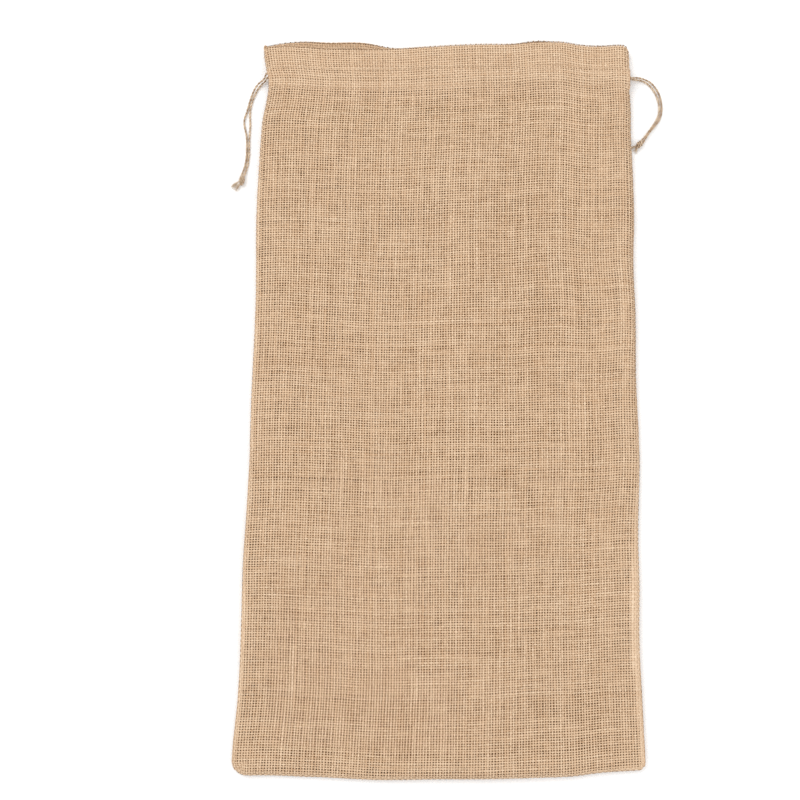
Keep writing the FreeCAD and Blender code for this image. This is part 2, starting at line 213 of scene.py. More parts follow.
class PanelShape:
    """Where one panel's cloth lies. across and along are measured in the cloth, from the
    middle of the panel and from its base edge, round the rolled edges and the folds."""

    MOUTH_FOLD = LENGTH - ROLL_REACH + ROLL_ARC     # along, at the fold of the mouth
    HEM_START = MOUTH_FOLD - HEM_DEPTH - 2 * MM     # along, at the turned-in layer's end
    WAVE_GRID = 240, 420

    def __init__(self, front):
        self.front = front
        self.mouth_edge = FRONT_MOUTH_EDGE if front else BACK_MOUTH_EDGE
        waves, ripples = (1.25 * MM, 0.30 * MM) if front else (0.25 * MM, 0.12 * MM)
        self.waves = smooth_noise(self.WAVE_GRID, (3, 6)) * waves
        self.waves += smooth_noise(self.WAVE_GRID, (9, 17)) * ripples

    def waviness(self, x, y):
        last_i, last_j = (count - 1 for count in self.WAVE_GRID)
        i = np.clip((x / (2 * BASE_HALF_WIDTH) + 0.5) * last_i, 0, last_i - 0.001)
        j = np.clip((y - BASE_Y) / LENGTH * last_j, 0, last_j - 0.001)
        n, m = i.astype(int), j.astype(int)
        s, t = i - n, j - m
        low = self.waves[n, m] * (1 - s) + self.waves[n + 1, m] * s
        high = self.waves[n, m + 1] * (1 - s) + self.waves[n + 1, m + 1] * s
        return low * (1 - t) + high * t

    def lie_along(self, across, along):
        """Along the bag: seam allowance, roll at the base, flat cloth, fold at the mouth, hem."""
        phi = np.clip(along / ROLL_ARC, 0, 1) * math.pi / 2
        y = np.where(along < 0, BASE_Y - along, BASE_Y + ROLL_REACH * (1 - np.cos(phi)))
        y = np.where(along > ROLL_ARC, BASE_Y + ROLL_REACH + along - ROLL_ARC, y)
        past_fold = along - self.MOUTH_FOLD
        y = np.where(past_fold > -4 * FOLD_REACH, MOUTH_Y - np.hypot(past_fold, FOLD_ROUND), y)
        uneven_cut = 1.1 * MM * np.sin(across * 23) + 0.5 * MM
        y = y + uneven_cut * ramp(past_fold, 0, 20 * MM)
        return y, np.sin(phi), past_fold

    def lie_across(self, across, y):
        """Across the bag: flat cloth, rolled sides and seam allowances. edge is the cloth left
        before the seam, and less than 0 in the allowance."""
        width = half_width(y)
        edge = width - ROLL_REACH + ROLL_ARC - np.abs(across)
        phi = np.clip(edge / ROLL_ARC, 0, 1) * math.pi / 2
        x = np.where(edge < 0, width + edge, width - ROLL_REACH * (1 - np.cos(phi)))
        x = np.where(edge > ROLL_ARC, np.abs(across), x)
        # At the cord gaps the seam is open, so each panel's cloth ends flat.
        gap = ramp(GAP_HALF_LENGTH + 3 * MM - np.abs(y - CHANNEL_Y), 0, 5 * MM)
        rise = np.sin(phi)
        rise = rise + (1 - rise) * gap * (edge > 0)
        return x, rise, width, edge

    def __call__(self, across, along):
        y, rise_y, past_fold = self.lie_along(across, along)
        x, rise_x, width, edge = self.lie_across(across, y)
        side = np.sign(across)
        base, mouth = (np.where(side < 0, *radii) for radii in (BASE_CORNERS, MOUTH_CORNERS))
        x, flipped = rounded_corner(x, -y, width - base, -BASE_Y - base, base)
        x, y = rounded_corner(x, -flipped, width - mouth, MOUTH_Y - mouth, mouth)

        # The hem's inner layer is folded down a little askew, so its yarns show in the holes.
        askew = 1.9 * MM * np.sin(across * 31 + 1.0) + 1.3 * MM
        askew = askew * np.clip(past_fold / HEM_DEPTH, 0, 1)
        shift = np.where(side < 0, smooth_curve(LEFT_EDGE, y), smooth_curve(RIGHT_EDGE, y))
        x = side * (x + shift * np.clip(x / width, 0, 1) ** 1.5) + askew
        up = np.clip((y - BASE_Y) / LENGTH, 0, 1)
        y = y + smooth_curve(BASE_EDGE, x) * (1 - up) + smooth_curve(self.mouth_edge, x) * up

        hem = ramp(past_fold, -FOLD_REACH, 2 * FOLD_REACH)
        z = self.height(x, y, rise_x * rise_y, hem)
        # The two panels meet where they are sewn, and their allowances part again inside.
        parted = ALLOWANCE_GAP * ramp(-np.minimum(along, edge), 0, 4 * MM)
        z = z + (parted if self.front else -parted)
        return np.stack([x, y, z], axis=-1), edge

    def height(self, x, y, rise, hem):
        """The cloth's height: the open body, and the hem with its rows and cord channel."""
        at_sides = np.abs(x) > 100 * MM
        seam = SEAM_Z + SEAM_WANDER * np.sin(y * 21 + np.sign(x) * 0.9) * at_sides
        in_channel = (y - CHANNEL_ROW_Y) / (HEADER_ROW_Y - CHANNEL_ROW_Y)
        bulge = np.sin(np.clip(in_channel, 0, 1) * math.pi) ** 0.7
        in_header = (y - HEADER_ROW_Y) / (MOUTH_Y - HEADER_ROW_Y)
        header = np.sin(np.clip(in_header, 0, 1) * math.pi * 0.75)
        near_hem = ramp(y, CHANNEL_ROW_Y - NEAR_HEM, NEAR_HEM)
        between = LAYER_GAP + CHANNEL_ROOM * bulge + HEADER_ROOM * header
        if self.front:
            body = FRONT_Z + self.waviness(x, y)
            at_hem = HEM_Z + CHANNEL_BULGE * bulge + HEADER_BULGE * header
            at_hem = at_hem + 0.4 * self.waviness(x, y)
            outer = body * (1 - near_hem) + at_hem * near_hem
            inner = outer - between
        else:
            body = BACK_Z + 0.8 * self.waviness(x, y)
            outer = body * (1 - near_hem) + BACK_Z * near_hem
            inner = outer + between + BACK_LAYER_RISE
        z = outer * (1 - hem) + inner * hem
        return seam + (z - seam) * rise


def normalised(v):
    return v / np.maximum(np.linalg.norm(v, axis=-1, keepdims=True), 1e-12)


class YarnMesh:
    """Gathers the ribbons of one panel and makes them into one object."""

    def __init__(self, name):
        self.name = name
        self.points, self.faces, self.tones, self.shades, self.slots = [], [], [], [], []
        self.count = 0

    def add(self, rows, tones, shades, keep, slot):
        """rows: yarns x crossings x vertices across x 3. keep: yarns x segments."""
        yarns, crossings, wide, _ = rows.shape
        index = np.arange(yarns * crossings * wide).reshape(yarns, crossings, wide)
        index = index + self.count
        for k in range(wide - 1):
            quads = np.stack([index[:, :-1, k], index[:, :-1, k + 1],
                              index[:, 1:, k + 1], index[:, 1:, k]], axis=-1)
            quads = quads[keep]
            self.faces.append(quads)
            self.slots.append(np.full(len(quads), slot))
        rows = rows.reshape(-1, 3)
        rows[:, 2] = np.maximum(rows[:, 2], FLOOR_GAP)
        self.points.append(rows)
        self.tones.append(np.repeat(tones[:, :, None], wide, axis=2).reshape(-1))
        self.shades.append(shades.reshape(-1))
        self.count += yarns * crossings * wide

    def build(self, materials):
        points = np.concatenate(self.points)
        faces = np.concatenate(self.faces)
        tones = np.concatenate(self.tones)
        shades = np.concatenate(self.shades)
        used, faces = np.unique(faces, return_inverse=True)
        return mesh_object(self.name, points[used], faces.reshape(-1, 4), materials,
                           tones[used], shades[used], np.concatenate(self.slots))


def mesh_object(name, points, faces, materials, tones, shades, slots=None):
    """A smooth-shaded object. faces: an array of quads, or a list of faces of any kind."""
    mesh = bpy.data.meshes.new(name)
    if isinstance(faces, np.ndarray):
        mesh.vertices.add(len(points))
        mesh.vertices.foreach_set("co", points.astype(np.float32).reshape(-1))
        mesh.loops.add(faces.size)
        mesh.loops.foreach_set("vertex_index", faces.reshape(-1).astype(np.int32))
        mesh.polygons.add(len(faces))
        starts = np.arange(0, faces.size, faces.shape[1], np.int32)
        mesh.polygons.foreach_set("loop_start", starts)
        mesh.update(calc_edges=True)
    else:
        mesh.from_pydata([tuple(p) for p in points], [], faces)
    for material in materials:
        mesh.materials.append(material)
    if slots is not None:
        mesh.polygons.foreach_set("material_index", slots.astype(np.int32))
    mesh.polygons.foreach_set("use_smooth", np.ones(len(mesh.polygons), bool))
    for label, values in (("tone", tones), ("shade", shades)):
        layer = mesh.attributes.new(label, "FLOAT", "POINT")
        layer.data.foreach_set("value", values.astype(np.float32))
    mesh.validate()
    obj = bpy.data.objects.new(name, mesh)
    bpy.context.scene.collection.objects.link(obj)
    return obj


def yarn_character(yarns, crossings):
    """Each yarn's width factor and tone along its length: uneven, with a few thick slubs."""
    grid = yarns, crossings
    width = (1 + 0.05 * rng.standard_normal((yarns, 1))
             + 0.11 * smooth_noise(grid, (yarns - 1, crossings // 6)))
    tone = (0.5 + 0.05 * rng.standard_normal((yarns, 1))
            + 0.07 * smooth_noise(grid, (yarns - 1, crossings // 9)))
    for _ in range(SLUBS):
        yarn = rng.integers(yarns)
        length = rng.integers(6, 40)
        start = rng.integers(0, crossings - length)
        swell = np.sin(np.linspace(0, math.pi, length)) ** 0.5
        width[yarn, start:start + length] += swell * rng.uniform(0.08, 0.32)
        tone[yarn, start:start + length] += swell * rng.uniform(0.05, 0.2)
    width = width + 0.11 * rng.standard_normal(grid)
    return np.clip(width, 0.66, 1.42), np.clip(tone, 0, 1)


def stray_fibres(points, outward, sideways):
    """Loose fibres that stand off the cloth, some of them at its sewn edges."""
    warps, wefts = points.shape[:2]
    i = rng.integers(10, warps - 10, HAIRS)
    i[::EDGE_HAIRS] = rng.choice([7, 8, warps - 9, warps - 8], len(i[::EDGE_HAIRS]))
    j = rng.integers(8, wefts - 22, HAIRS)
    place, out = points[i, j], outward[i, j]
    lean = normalised(rng.standard_normal((HAIRS, 3)) * (1, 1, 0.15))
    away = out * rng.uniform(0.0, 0.35, (HAIRS, 1)) + lean
    curl = np.cross(away, out) * rng.normal(0, 0.6, (HAIRS, 1)) - out * 0.1
    length = rng.uniform(1.5, 6.0, (HAIRS, 1, 1)) * MM
    steps = np.linspace(0, 1, 5)[None, :, None]
    line = (place + out * (OVER_UNDER + 0.05 * MM))[:, None, :]
    line = line + length * (away[:, None, :] * steps + curl[:, None, :] * steps ** 2)
    line[..., 2] = np.clip(line[..., 2], FLOOR_GAP, TOP_Z)
    half = sideways[i, j][:, None, :] * HAIR_WIDTH / 2
    return np.stack([line - half, line + half], axis=2)


def lay_yarns(shape):
    """Where the yarns cross: each keeps its own spacing, and neighbours drift together."""
    half_cut = BASE_HALF_WIDTH - ROLL_REACH + ROLL_ARC + SEAM_ALLOWANCE
    across = np.arange(-half_cut, half_cut, WARP_PITCH)[:, None]
    along = np.arange(-SEAM_ALLOWANCE, shape.MOUTH_FOLD + HEM_DEPTH, WEFT_PITCH)[None, :]
    warps, wefts = grid = across.size, along.size
    drift_a = (0.10 * rng.standard_normal((warps, 1)) + 0.14 * smooth_noise(grid, (warps // 2, 40))
               + 0.9 * smooth_noise(grid, (3, 7))) * MM
    drift_b = (0.08 * rng.standard_normal((1, wefts)) + 0.12 * smooth_noise(grid, (26, wefts // 2))
               + 0.8 * smooth_noise(grid, (4, 9))) * MM
    inside = ramp(half_cut - np.abs(across), 0, 40 * MM)
    points, edge = shape(across + drift_a * inside, along + drift_b)
    return across, along, points, edge


def cut_cloth(shape, along, edge):
    """Which crossings exist: none beyond a seam allowance, none in the corners where two
    allowances would lie double, and none in the hem's allowances except at the cord gaps."""
    gap_along = shape.MOUTH_FOLD - (MOUTH_Y - CHANNEL_Y)
    at_gap = np.abs(along - gap_along) < GAP_HALF_LENGTH + 1 * MM
    hem_cut = np.where(at_gap, -0.5 * MM, -2.6 * MM)
    exists = edge > -SEAM_ALLOWANCE
    exists &= (along > 2 * MM) | (edge > 2 * MM)
    exists &= (along < shape.HEM_START) | (edge > hem_cut)
    exists &= (along < shape.MOUTH_FOLD + FOLD_REACH) | (edge > 4 * MM)
    return exists


def press_cloth(shape, left, along, y, edge, to_base):
    """How far the cloth is closed: close and smooth where it lies tight on its allowances and
    inside the hem, and open elsewhere."""
    band = np.where(left, smooth_curve(LEFT_BAND, y), smooth_curve(RIGHT_BAND, y))
    band = band + 0.7 * MM * smooth_noise(edge.shape, (6, 60))
    at_side = ramp(band - edge, -1.5 * MM, 3 * MM) * ramp(edge, 0, 3 * MM)
    at_base = ramp(6 * MM - along, 0, 3 * MM) * (along > 0)
    at_hem = ramp(along, shape.HEM_START + 2 * MM, 2 * MM)
    inside_hem = along > shape.MOUTH_FOLD + FOLD_REACH
    closed = np.maximum(CLOSED_SIDE * at_side, CLOSED_BASE * at_base)
    closed = np.maximum(closed, CLOSED_HEM * at_hem)
    closed = np.maximum(closed, CLOSED_HEM_INSIDE * inside_hem)
    if not shape.front:
        closed = np.maximum(closed, CLOSED_BACK + CLOSED_BACK_BASE * to_base)
    return closed


# The back panel gets painted shade where this share is 1.
def inside_share(shape, left, along, edge):
    """1 on the open inside of the bag, and 0 along its edges and at its mouth."""
    from_edge = edge / np.where(left, 18 * MM, 34 * MM)
    from_ends = np.minimum(along, shape.HEM_START + 6 * MM - along) / (14 * MM)
    return smooth_step(np.minimum(from_edge - 0.2, from_ends))


def weave_panel(name, shape, round_yarns):
    """A panel woven from ribbons that pass over and under each other at every crossing."""
    across, along, points, edge = lay_yarns(shape)
    along_warp = normalised(np.gradient(points, axis=1))
    along_weft = normalised(np.gradient(points, axis=0))
    outward = normalised(np.cross(along_weft, along_warp))
    if not shape.front:
        outward = -outward
    warps, wefts = edge.shape
    over = np.where((np.arange(warps)[:, None] + np.arange(wefts)[None, :]) % 2, 1.0, -1.0)
    rise = over * OVER_UNDER * (FLATTER_EDGE + (1 - FLATTER_EDGE) * ramp(np.abs(edge), 0, 5 * MM))
    exists = cut_cloth(shape, along, edge)

    # The open cloth is slacker towards the base, and closer on the right.
    x, y = points[..., 0], points[..., 1]
    to_base = ramp(-y, 60 * MM, 200 * MM)
    to_right = ramp(x, 60 * MM, 80 * MM) * (1 - to_base)
    slack = 1 + SLACK_BASE * to_base + SLACK_RIGHT * to_right
    left = across < 0
    closed = press_cloth(shape, left, along, y, edge, to_base)
    # Painted shade: the back panel's colour is darkened inside the bag, under the front panel;
    # daylight is the share of its colour left.
    daylight = np.ones(edge.shape)
    if not shape.front:
        daylight -= (1 - SHADE_INSIDE) * inside_share(shape, left, along, edge)

    mesh = YarnMesh(name)
    for slot, (sideways, pitch, width) in enumerate((
        (along_weft, WARP_PITCH, WARP_WIDTH), (along_warp, WEFT_PITCH, WEFT_WIDTH),
    )):
        # Everything below is yarns x crossings: as it is for the warp, and turned for the weft.
        def lay(field, turned=slot == 1):
            return field.swapaxes(0, 1) if turned else field

        upper = lay(over) if slot == 0 else -lay(over)
        lift = lay(rise) if slot == 0 else -lay(rise)
        factor, tone = yarn_character(*upper.shape)
        tight = lay(closed)
        wide = np.minimum(factor * width * lay(slack), WIDEST_YARN * pitch)
        wide = wide * (1 - tight) + CLOSED_YARN * pitch * tight
        centre = lay(points) + lay(outward) * lift[..., None]
        low = centre - lay(outward) * CROWN
        reach = lay(sideways) * wide[..., None] / 2
        # Painted shade: a yarn's colour is darker where it dips under another yarn and at its
        # sides, and on the back panel inside the bag.
        under = SHADE_UNDER + (CLOSED_SHADE_UNDER - SHADE_UNDER) * tight
        shade = np.where(upper > 0, 1.0, under) * lay(daylight)
        side = shade * (SHADE_SIDE + (CLOSED_SHADE_SIDE - SHADE_SIDE) * tight)
        if round_yarns:
            rows, shades = [low - reach, centre, low + reach], [side, shade, side]
        else:
            rows, shades = [low - reach, low + reach], [side, side]
        kept = lay(exists)
        mesh.add(np.stack(rows, axis=2), tone, np.stack(shades, axis=2),
                 kept[:, 1:] & kept[:, :-1], slot)
    if shape.front:
        hairs = stray_fibres(points, outward, along_weft)
        tone = np.broadcast_to(rng.uniform(0.3, 1.0, (HAIRS, 1)), hairs.shape[:2])
        kept = np.ones((HAIRS, hairs.shape[1] - 1), bool)
        mesh.add(hairs, tone, np.ones(hairs.shape[:3]), kept, 0)
    return mesh.build([materials["burlap_warp"], materials["burlap_weft"]])


# ---------------------------------------------------------------- materials

BURLAP_DARK = (0.595, 0.390, 0.238)
BURLAP_LIGHT = (0.935, 0.755, 0.560)
JUTE_DARK = (0.30, 0.20, 0.125)
JUTE_LIGHT = (0.80, 0.65, 0.48)
THREAD_DARK = (0.44, 0.29, 0.17)
THREAD_LIGHT = (0.78, 0.60, 0.42)
# Painted shade turns colours towards this saturated brown.
DEEP_SHADE = (0.28, 0.110, 0.008)   # what a shade of 0 turns every colour into
STREAKS = 2.7               # how strongly single fibres show in a yarn's tone
PATCHES = 0.25              # and how cloudy the cloth is
PATCH_SCALE = 55.0          # cloudy patches per metre
ACROSS_YARN = 4200.0        # fibre streaks per metre across a yarn of the cloth
ALONG_YARN = 520.0          # and along it
FIBRE_SLANT = 0.30          # angle between the fibres and their yarn, in radians
JUTE_GRAIN = 2600.0, 1100.0, 2600.0     # streaks per metre of string, in X, Y and Z
THREAD_GRAIN = 2500.0, 2500.0, 2500.0
ROUGHNESS = 0.92
SPECULAR = 0.2
BUMP_STRENGTH = 0.8
BUMP_DEPTH = 0.3 * MM


def new_material(name):
    material = bpy.data.materials.new(name)
    material.use_nodes = True
    shader = material.node_tree.nodes["Principled BSDF"]
    shader.inputs["Roughness"].default_value = ROUGHNESS
    shader.inputs["Specular IOR Level"].default_value = SPECULAR
    return material, material.node_tree, shader


def fibre_material(name, dark, light, grain_scale, slant=0.0):
    """Yarn: its tone from the yarn's own value, with streaky fibres that run along it."""
    material, tree, shader = new_material(name)
    nodes, links = tree.nodes, tree.links

    def noise(scale, vector, detail):
        node = nodes.new("ShaderNodeTexNoise")
        node.inputs["Scale"].default_value = scale
        node.inputs["Detail"].default_value = detail
        links.new(vector, node.inputs["Vector"])
        return node.outputs["Fac"]

    def add_scaled(value, factor, to):
        node = nodes.new("ShaderNodeMath")
        node.operation = "MULTIPLY_ADD"
        node.inputs[1].default_value = factor
        links.new(value, node.inputs[0])
        links.new(to, node.inputs[2])
        return node.outputs[0]

    def attribute(label):
        node = nodes.new("ShaderNodeAttribute")
        node.attribute_name = label
        return node.outputs["Fac"]

    def blend(factor, low, high):
        node = nodes.new("ShaderNodeMix")
        node.data_type = "RGBA"
        node.inputs["A"].default_value = (*low, 1)
        links.new(factor, node.inputs["Factor"])
        if isinstance(high, tuple):
            node.inputs["B"].default_value = (*high, 1)
        else:
            links.new(high, node.inputs["B"])
        return node.outputs["Result"]

    place = nodes.new("ShaderNodeTexCoord").outputs["Object"]
    turned = nodes.new("ShaderNodeMapping")
    turned.inputs["Rotation"].default_value = (0, 0, slant)
    links.new(place, turned.inputs["Vector"])
    stretched = nodes.new("ShaderNodeMapping")
    stretched.inputs["Scale"].default_value = grain_scale
    links.new(turned.outputs["Vector"], stretched.inputs["Vector"])
    fibres = noise(1.0, stretched.outputs["Vector"], detail=4.0)
    patches = noise(PATCH_SCALE, place, detail=2.0)

    level = add_scaled(patches, PATCHES, add_scaled(fibres, STREAKS, attribute("tone")))
    lightness = nodes.new("ShaderNodeMapRange")
    lowest = (PATCHES + STREAKS) / 2
    lightness.inputs["From Min"].default_value = lowest
    lightness.inputs["From Max"].default_value = lowest + 1
    links.new(level, lightness.inputs["Value"])
    colour = blend(lightness.outputs["Result"], dark, light)
    # Painted shade: the shade attribute blends the colour towards DEEP_SHADE.
    links.new(blend(attribute("shade"), DEEP_SHADE, colour), shader.inputs["Base Color"])

    bump = nodes.new("ShaderNodeBump")
    bump.inputs["Strength"].default_value = BUMP_STRENGTH
    bump.inputs["Distance"].default_value = BUMP_DEPTH
    links.new(fibres, bump.inputs["Height"])
    links.new(bump.outputs["Normal"], shader.inputs["Normal"])
    return material


materials = {
    "burlap_warp": fibre_material("burlap_warp", BURLAP_DARK, BURLAP_LIGHT,
                                  (ACROSS_YARN, ALONG_YARN, ACROSS_YARN), FIBRE_SLANT),
    "burlap_weft": fibre_material("burlap_weft", BURLAP_DARK, BURLAP_LIGHT,
                                  (ALONG_YARN, ACROSS_YARN, ACROSS_YARN), FIBRE_SLANT),
    "jute": fibre_material("jute", JUTE_DARK, JUTE_LIGHT, JUTE_GRAIN),
    "thread": fibre_material("thread", THREAD_DARK, THREAD_LIGHT, THREAD_GRAIN),
}

# ---------------------------------------------------------------- drawstrings

STRAND = 2.0 * MM           # diameter of one two-ply strand
PLY_RADIUS = 0.50 * MM
PLY_OFFSET = 0.44 * MM      # from the strand's middle to each ply's
PLY_TURN = 7.0 * MM         # length of one twist of the two plies
# Painted shade in the valleys where the two plies of a strand meet:
VALLEY_SHADE = 0.65         # colour lost in the valleys between the plies
VALLEY_REACH = 0.30         # how far up a ply's sides that reaches
RING = 8                    # points round a ply
STRAND_STEP = 0.7 * MM
SLOW_WAVES = 640            # radians per metre: thick and thin, dark and light along a ply
QUICK_WAVES = 2300
TAIL_FUZZ = 90              # loose fibres on each free strand
LOWEST_FUZZ = 0.1 * MM      # heights that keep the middle of each of these above the floor
LOWEST_WRAP = 1.1 * MM
LOWEST_FRAY = 0.2 * MM

KNOT_TURNS = 1.15           # turns of each wrap, to either side of the knot's middle
KNOT_RADIUS = 2.15 * MM     # from the knot's middle to the middle of a wrap
KNOT_FLATNESS = 0.86        # its height as a share of its width
KNOT_TAPER = 0.12           # share of the radius lost in each turn from the middle
KNOT_PITCH = 1.75 * MM      # how far one turn gets along the knot
KNOT_SLANT = 0.55           # how far a wrap leans, as a share of its radius
WRAP_SHIFT = 0.85 * MM      # of the two wraps along the knot, to either side
CORE_SHIFT = 0.9 * MM       # of the two strands inside it, to either side
CORE_BACK = 4.2 * MM        # how far those two reach from the knot's middle
CORE_AHEAD = 4.6 * MM

FRAY_FIBRES = 34            # in each strand's end
FRAY_START = 2.4 * MM       # from the knot's middle
FRAY_POINTS = 7

# The routes of the free strands, from the side of the bag to the knot.
ROUTES = {
    "left_drawstring_front_tail": [
        (-168.0, 299.5, 12.0),
        (-169.2, 296.4, 8.9),
        (-172.0, 295.0, 5.8),
        (-175.9, 292.8, 3.8),
        (-178.9, 288.8, 2.6),
        (-181.4, 283.4, 1.7),
        (-183.3, 277.2, 1.1),
        (-184.7, 271.2, 1.05),
        (-185.8, 266.0, 1.05),
        (-187.6, 261.2, 1.05),
        (-188.3, 256.2, 1.05),
        (-187.6, 251.0, 1.05),
        (-186.1, 245.6, 1.05),
        (-185.1, 239.6, 1.05),
        (-184.9, 232.8, 1.05),
        (-184.7, 226.0, 1.05),
        (-185.2, 219.0, 1.05),
        (-186.2, 211.8, 1.2),
        (-189.2, 203.2, 2.4),
    ],
    "left_drawstring_back_tail": [
        (-168.0, 299.5, 2.4),
        (-169.3, 296.3, 2.0),
        (-172.4, 293.7, 1.4),
        (-175.8, 289.8, 1.05),
        (-178.4, 284.2, 1.05),
        (-180.8, 278.2, 1.05),
        (-182.5, 272.0, 1.05),
        (-183.2, 266.0, 1.05),
        (-182.9, 260.2, 1.05),
        (-182.4, 254.4, 1.05),
        (-182.5, 248.6, 1.05),
        (-182.9, 242.6, 1.05),
        (-182.9, 236.2, 1.05),
        (-182.7, 229.6, 1.05),
        (-182.9, 222.8, 1.05),
        (-183.5, 215.8, 1.05),
        (-184.6, 209.4, 1.2),
        (-187.0, 203.0, 2.4),
    ],
    "right_drawstring_front_tail": [
        (168.0, 305.5, 12.0),
        (169.8, 302.2, 9.6),
        (173.6, 301.6, 7.8),
        (178.6, 302.8, 6.4),
        (183.4, 302.3, 5.0),
        (187.6, 301.4, 3.8),
        (191.6, 299.8, 2.6),
        (195.4, 296.4, 1.7),
        (198.8, 291.4, 1.1),
        (200.9, 285.6, 1.05),
        (201.9, 279.6, 1.05),
        (202.1, 273.6, 1.05),
        (201.2, 267.8, 1.05),
        (199.0, 262.4, 1.3),
        (195.4, 257.8, 2.2),
        (191.6, 253.0, 2.8),
        (187.8, 248.0, 2.9),
        (183.7, 240.6, 2.4),
    ],
    "right_drawstring_back_tail": [
        (168.0, 305.5, 2.4),
        (171.4, 303.4, 2.0),
        (176.2, 302.8, 1.5),
        (181.2, 302.6, 1.1),
        (186.0, 301.2, 1.05),
        (190.3, 298.2, 1.05),
        (193.8, 294.2, 1.05),
        (196.7, 289.0, 1.05),
        (198.6, 283.6, 1.05),
        (199.8, 278.4, 1.05),
        (199.9, 273.2, 1.05),
        (199.1, 268.2, 1.05),
        (197.1, 263.6, 1.05),
        (194.1, 258.8, 1.05),
        (190.6, 253.8, 1.05),
        (186.9, 248.6, 1.05),
        (181.6, 241.9, 2.4),
    ],
}


def nurbs_points(route):
    """Points along the smooth spline that has the route as its control points."""
    curve = bpy.data.curves.new("route", "CURVE")
    curve.dimensions = "3D"
    curve.resolution_u = 16
    spline = curve.splines.new("NURBS")
    spline.points.add(len(route) - 1)
    for point, place in zip(spline.points, route):
        point.co = (*(value * MM for value in place), 1)
    spline.order_u = 3
    spline.use_endpoint_u = True
    holder = bpy.data.objects.new("route", curve)
    line = bpy.data.meshes.new_from_object(holder)
    points = np.array([v.co[:] for v in line.vertices])
    bpy.data.objects.remove(holder)
    bpy.data.curves.remove(curve)
    bpy.data.meshes.remove(line)
    return points


def evenly(points, step):
    """The same line with evenly spaced points."""
    gone = np.concatenate([[0], np.cumsum(np.linalg.norm(np.diff(points, axis=0), axis=1))])
    places = np.linspace(0, gone[-1], max(2, int(round(gone[-1] / step)) + 1))
    return np.stack([np.interp(places, gone, points[:, k]) for k in range(3)], axis=1), places


def frames_along(points):
    """Two directions across the line at each point, carried along it without twisting."""
    heading = normalised(np.gradient(points, axis=0))
    first = np.cross(heading[0], (0.0, 0.0, 1.0))
    if np.linalg.norm(first) < 0.1:
        first = np.cross(heading[0], (1.0, 0.0, 0.0))
    across = [first / np.linalg.norm(first)]
    for ahead in heading[1:]:
        carried = across[-1] - ahead * np.dot(across[-1], ahead)
        across.append(carried / np.linalg.norm(carried))
    across = np.array(across)
    return across, np.cross(heading, across)


class TubeMesh:
    """Gathers round tubes, each along its own line, into one object."""

    def __init__(self, name):
        self.name = name
        self.points, self.faces, self.tones, self.shades = [], [], [], []

    def add(self, line, radius, tone=0.5, ring=RING, core=None):
        """A closed tube. radius may change along the line. core: the line that it is twisted
        round, if any, so that its surface is darker in the valleys beside that line."""
        across, up = frames_along(line)
        radius = np.broadcast_to(np.asarray(radius, float), (len(line),))
        angles = np.arange(ring)[None, :, None] * 2 * math.pi / ring
        rim = across[:, None, :] * np.cos(angles) + up[:, None, :] * np.sin(angles)
        verts = line[:, None, :] + rim * radius[:, None, None]
        first = sum(len(p) for p in self.points)
        count = len(line)
        last = first + (count - 1) * ring
        self.points.append(verts.reshape(-1, 3))
        for i in range(count - 1):
            for k in range(ring):
                a, b = first + i * ring + k, first + i * ring + (k + 1) % ring
                self.faces.append((a, b, b + ring, a + ring))
        self.faces.append(tuple(first + k for k in reversed(range(ring))))
        self.faces.append(tuple(last + k for k in range(ring)))
        self.tones.append(np.repeat(np.broadcast_to(tone, (count,)), ring))
        # Painted shade: each ply is darker on the side that faces the other ply.
        shade = np.ones((count, ring))
        if core is not None:
            facing = (rim * normalised(core - line)[:, None, :]).sum(axis=2)
            shade -= VALLEY_SHADE * ramp(facing, -VALLEY_REACH, 1)
        self.shades.append(shade.reshape(-1))

    def add_strand(self, points, phase=0.0, tone=0.5, fuzz=0):
        """A two-ply strand round the line, with loose fibres standing off it."""
        line, gone = evenly(points, STRAND_STEP)
        across, up = frames_along(line)
        turn = phase + gone / PLY_TURN * 2 * math.pi
        for ply in (0, math.pi):
            offset = across * np.cos(turn + ply)[:, None] + up * np.sin(turn + ply)[:, None]
            slow = np.sin(gone * SLOW_WAVES + 2 * ply + 3 * phase)
            quick = np.sin(gone * QUICK_WAVES + phase)
            uneven = 1 + 0.14 * slow + 0.07 * quick
            ply_tone = tone + rng.uniform(-0.12, 0.12) + 0.22 * slow
            self.add(line + offset * PLY_OFFSET, PLY_RADIUS * uneven, ply_tone, core=line)
        for _ in range(fuzz):
            self.add_hair(line, across, up)

    def add_hair(self, line, across, up):
        """One short fibre that stands off the strand and curls."""
        n = rng.integers(1, len(line) - 2)
        angle = rng.uniform(0, 2 * math.pi)
        out = across[n] * math.cos(angle) + up[n] * math.sin(angle)
        heading = normalised(line[n + 1] - line[n])
        length = rng.uniform(1.0, 2.6) * MM
        lean = rng.uniform(-1.0, 1.0)
        steps = np.array([0, 0.35, 0.7, 1.0])[:, None]
        hair = line[n] + out * 0.8 * MM + (out * 0.45 + heading * lean) * length * steps
        curl = rng.normal(0, 0.9) * heading + rng.normal(0, 0.5) * out
        hair = hair + curl * MM * steps ** 2
        hair[:, 2] = np.maximum(hair[:, 2], LOWEST_FUZZ)
        self.add(hair, np.array([0.05, 0.045, 0.04, 0.025]) * MM, rng.uniform(0.4, 1.0), ring=3)

    def build(self, material):
        return mesh_object(self.name, np.concatenate(self.points), self.faces, [material],
                           np.concatenate(self.tones), np.concatenate(self.shades))


